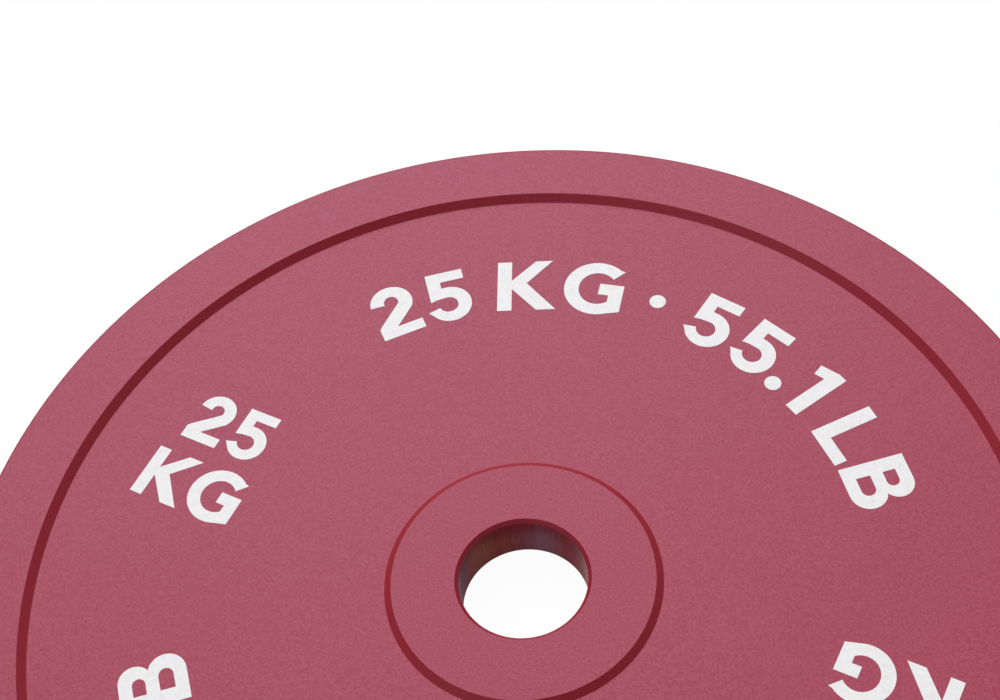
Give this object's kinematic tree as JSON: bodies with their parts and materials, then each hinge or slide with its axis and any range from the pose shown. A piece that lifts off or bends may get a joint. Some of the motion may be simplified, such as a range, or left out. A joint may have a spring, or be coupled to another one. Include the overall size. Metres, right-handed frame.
{
  "type": "calibrated powerlifting plate",
  "caption": "Thin round weight plate with a raised rim, a recessed field, a raised hub and a round bore, and calibration pockets closed by hex-socket plugs in its back.",
  "frame": {"origin": "on the bore's axis, level with the back face of the rim, which is the plane that the plate rests on", "axes": "+Z along the bore's axis, out of the printed front face; +Y towards the top of the print; +X to the right of the print"},
  "size_m": [0.45, 0.45, 0.0246],
  "materials": {
    "paint": "satin red paint over machined steel, bare in the bore",
    "plug": "zinc plated steel",
    "trim": "plain punched steel"
  },
  "bodies": {
    "root": {"plate_body": "paint", "calibration_plug_1": "plug", "trim_disc_1a": "trim", "trim_disc_1b": "trim", "trim_disc_1c": "trim", "trim_disc_1d": "trim", "calibration_plug_2": "plug", "trim_disc_2a": "trim", "trim_disc_2b": "trim", "trim_disc_2c": "trim", "trim_disc_2d": "trim", "calibration_plug_3": "plug", "trim_disc_3a": "trim", "trim_disc_3b": "trim", "trim_disc_3c": "trim", "trim_disc_3d": "trim", "calibration_plug_4": "plug", "trim_disc_4a": "trim", "trim_disc_4b": "trim", "trim_disc_4c": "trim", "trim_disc_4d": "trim"}
  },
  "joints": []
}
